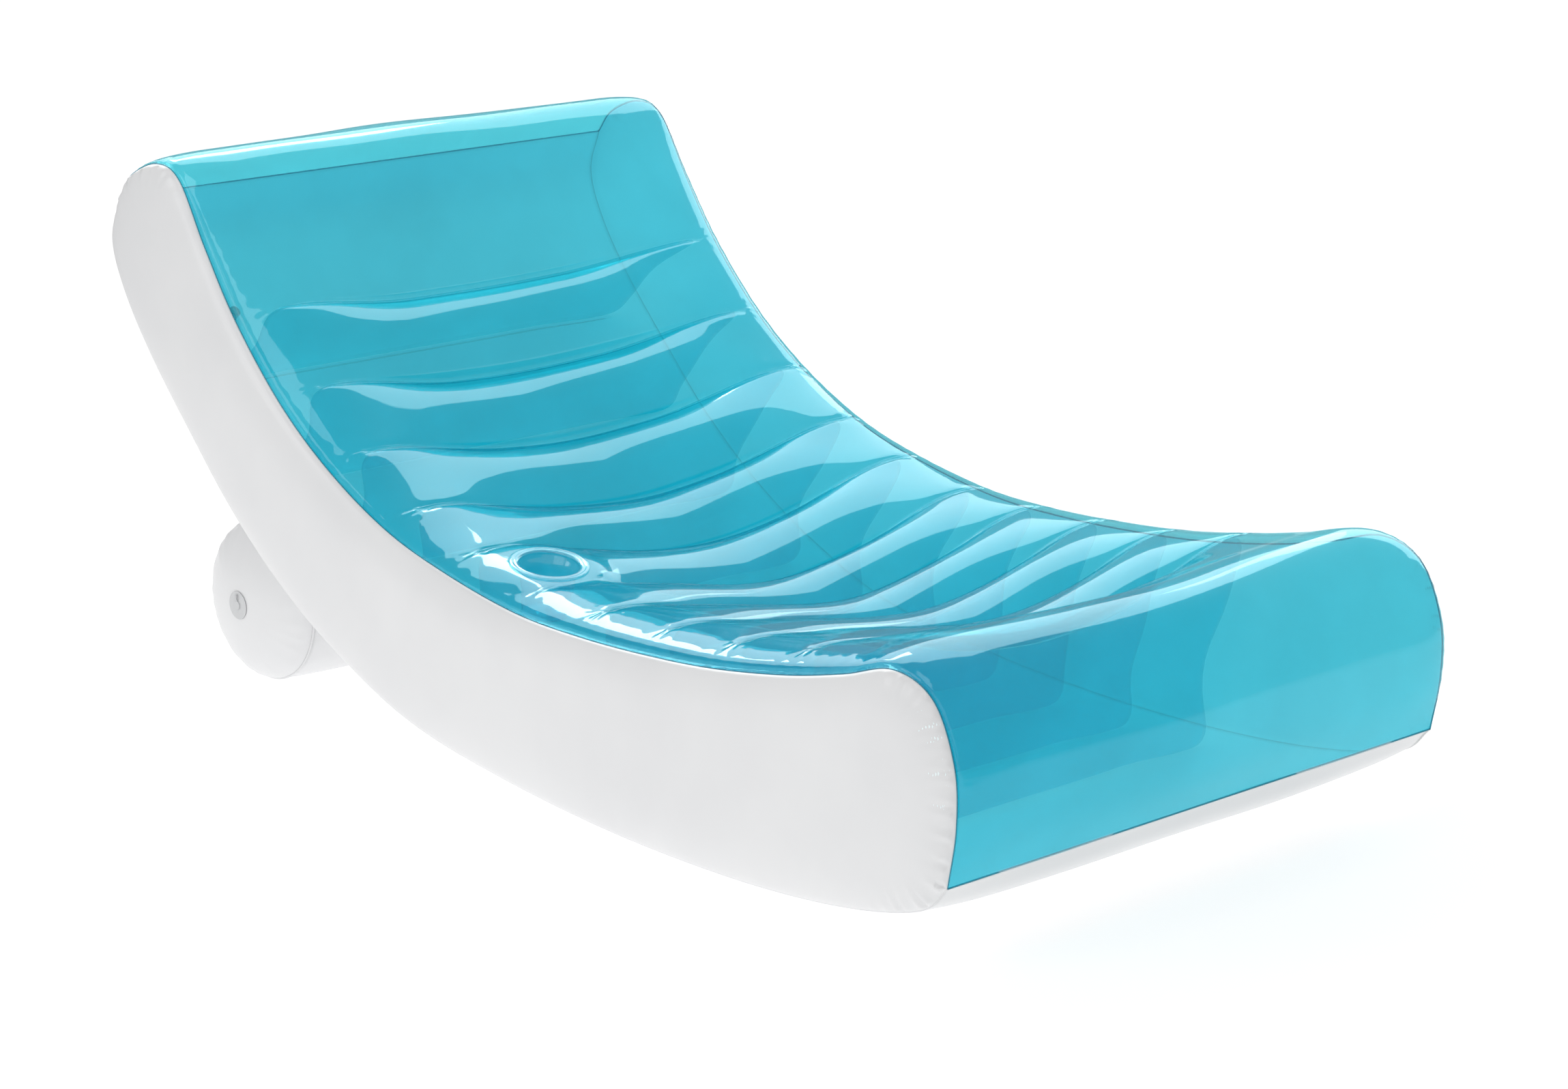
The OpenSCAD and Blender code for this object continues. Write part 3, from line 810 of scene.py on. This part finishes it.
def build_tube():
    wall, flat = make_tube_wall()
    dress(wall, WHITE_VINYL, replaces=["tube_wall"])
    for name, side, hole in (("left", 1, 0), ("right", -1, VALVE_HOLE_R)):
        cap, flat = make_tube_cap(f"white_tube_cap_{name}", side, hole)
        dress(cap, WHITE_VINYL, replaces=[f"tube_cap_{name}"])
        dress(tube_seam(f"tube_seam_{name}", side), WHITE_VINYL)
    dress(make_patch(), WHITE_VINYL, replaces=["tube_mount_patch"])


def build_cup():
    sleeve, floor = make_cup()
    dress(sleeve, CUP_FILM, replaces=["cup_holder_sleeve"])
    dress(floor, CUP_FILM, replaces=["cup_holder_floor"])


def build_valves():
    for kind in ("main", "tube"):
        for part in ("base", "stem", "flap", "plug"):
            node = frame["nodes"][f"{kind}_valve_{part}"]
            node.data.materials.clear()
            node.data.materials.append(VALVE_VINYL)
        tether, start, end = make_tether(kind)
        tether.data.materials.append(VALVE_VINYL)
        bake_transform(tether)
        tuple(start)
        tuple(end)
        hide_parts(f"{kind}_valve_tether")


# ---- Stage, lights and camera ----
def build_floor():
    reach = 30.0
    floor = make_object(
        "floor",
        [(-reach, -reach, 0), (reach, -reach, 0), (reach, reach, 0), (-reach, reach, 0)],
        [(0, 1, 2, 3)],
    )
    floor.location.z = -0.0005
    material, tree = new_material("floor_white")
    skin = tree.nodes.new("ShaderNodeBsdfDiffuse")
    skin.inputs["Color"].default_value = (0.62, 0.617, 0.617, 1)
    glow, both = tree.nodes.new("ShaderNodeEmission"), tree.nodes.new("ShaderNodeAddShader")
    glow.inputs["Strength"].default_value = 0.6
    gone, fade = tree.nodes.new("ShaderNodeBsdfTransparent"), tree.nodes.new("ShaderNodeMixShader")
    place, size = tree.nodes.new("ShaderNodeTexCoord"), tree.nodes.new("ShaderNodeVectorMath")
    size.operation = "LENGTH"
    edge = tree.nodes.new("ShaderNodeMapRange")
    edge.inputs["From Min"].default_value = 2.2
    edge.inputs["From Max"].default_value = 3.6
    output = tree.nodes.new("ShaderNodeOutputMaterial")
    tree.links.new(skin.outputs[0], both.inputs[0])
    tree.links.new(glow.outputs[0], both.inputs[1])
    tree.links.new(place.outputs["Object"], size.inputs[0])
    tree.links.new(size.outputs["Value"], edge.inputs["Value"])
    tree.links.new(edge.outputs["Result"], fade.inputs["Fac"])
    tree.links.new(both.outputs[0], fade.inputs[1])
    tree.links.new(gone.outputs[0], fade.inputs[2])
    tree.links.new(fade.outputs[0], output.inputs["Surface"])
    floor.data.materials.append(material)


def softbox(name, place, aim, size, radiance, mirrored_only=False):
    """An area light of the given radiance, facing its aim. mirrored_only is for a light that
    shows in glossy surfaces and doesn't brighten matt ones."""
    light = bpy.data.lights.new(name, "AREA")
    light.shape = "RECTANGLE"
    light.size, light.size_y = size
    light.energy = radiance * math.pi * size[0] * size[1]
    made = bpy.data.objects.new(name, light)
    made.location = place
    made.rotation_euler = (Vector(aim) - Vector(place)).to_track_quat("-Z", "Y").to_euler()
    made.visible_diffuse = not mirrored_only
    bpy.context.scene.collection.objects.link(made)


def build_lights():
    """A plain white studio. The back lights give the puffs their bright bands."""
    world = bpy.data.worlds.new("studio")
    bpy.context.scene.world = world
    world.use_nodes = True
    tree = world.node_tree
    tree.nodes.clear()
    seen, fill = tree.nodes.new("ShaderNodeBackground"), tree.nodes.new("ShaderNodeBackground")
    seen.inputs["Color"].default_value = (1, 1, 1, 1)
    seen.inputs["Strength"].default_value = 1.05
    fill.inputs["Color"].default_value = (1, 1, 1, 1)
    fill.inputs["Strength"].default_value = 0.5
    path = tree.nodes.new("ShaderNodeLightPath")
    both, output = tree.nodes.new("ShaderNodeMixShader"), tree.nodes.new("ShaderNodeOutputWorld")
    tree.links.new(path.outputs["Is Camera Ray"], both.inputs["Fac"])
    tree.links.new(fill.outputs[0], both.inputs[1])
    tree.links.new(seen.outputs[0], both.inputs[2])
    tree.links.new(both.outputs[0], output.inputs["Surface"])
    softbox("back_softbox", (2.0, 3.6, 3.5), (0, 0, 0.3), (6.5, 4.2), 3.0, True)
    softbox("back_fill", (2.0, 3.6, 3.5), (0, 0, 0.3), (6.5, 4.2), 1.2)
    softbox("back_strip", (1.5, 3.3, 3.1), (0, 0, 0.3), (1.8, 0.8), 11.0, True)
    softbox("top_softbox", (-1.6, -0.4, 4.0), (0, 0, 0.3), (1.6, 3.0), 1.5)
    softbox("right_softbox", (4.6, 0.9, 1.7), (0, 0, 0.5), (3.4, 1.8), 3.2)
    softbox("left_softbox", (-4.8, -1.2, 1.8), (0, 0, 0.4), (3.4, 3.0), 0.75)
    softbox("side_softbox", (-4.0, 1.6, 2.2), (0, 0, 0.4), (1.4, 2.2), 1.8)


def build_camera():
    """The photo's view of the lounge."""
    data = bpy.data.cameras.new("camera")
    data.sensor_width = 36
    data.lens = 87.2
    camera = bpy.data.objects.new("camera", data)
    camera.location = (-3.608, -4.014, 1.745)
    camera.rotation_euler = (math.radians(74.852), 0, math.radians(-42.4505))
    bpy.context.scene.collection.objects.link(camera)
    bpy.context.scene.camera = camera


build_camera()
build_chamber()
build_seams()
build_tube()
build_cup()
build_valves()
build_floor()
build_lights()
# Enough bounces for a view through the top sheet, every baffle and the cup
scene = bpy.context.scene
scene.view_settings.view_transform = "Standard"
scene.cycles.transparent_max_bounces = 48
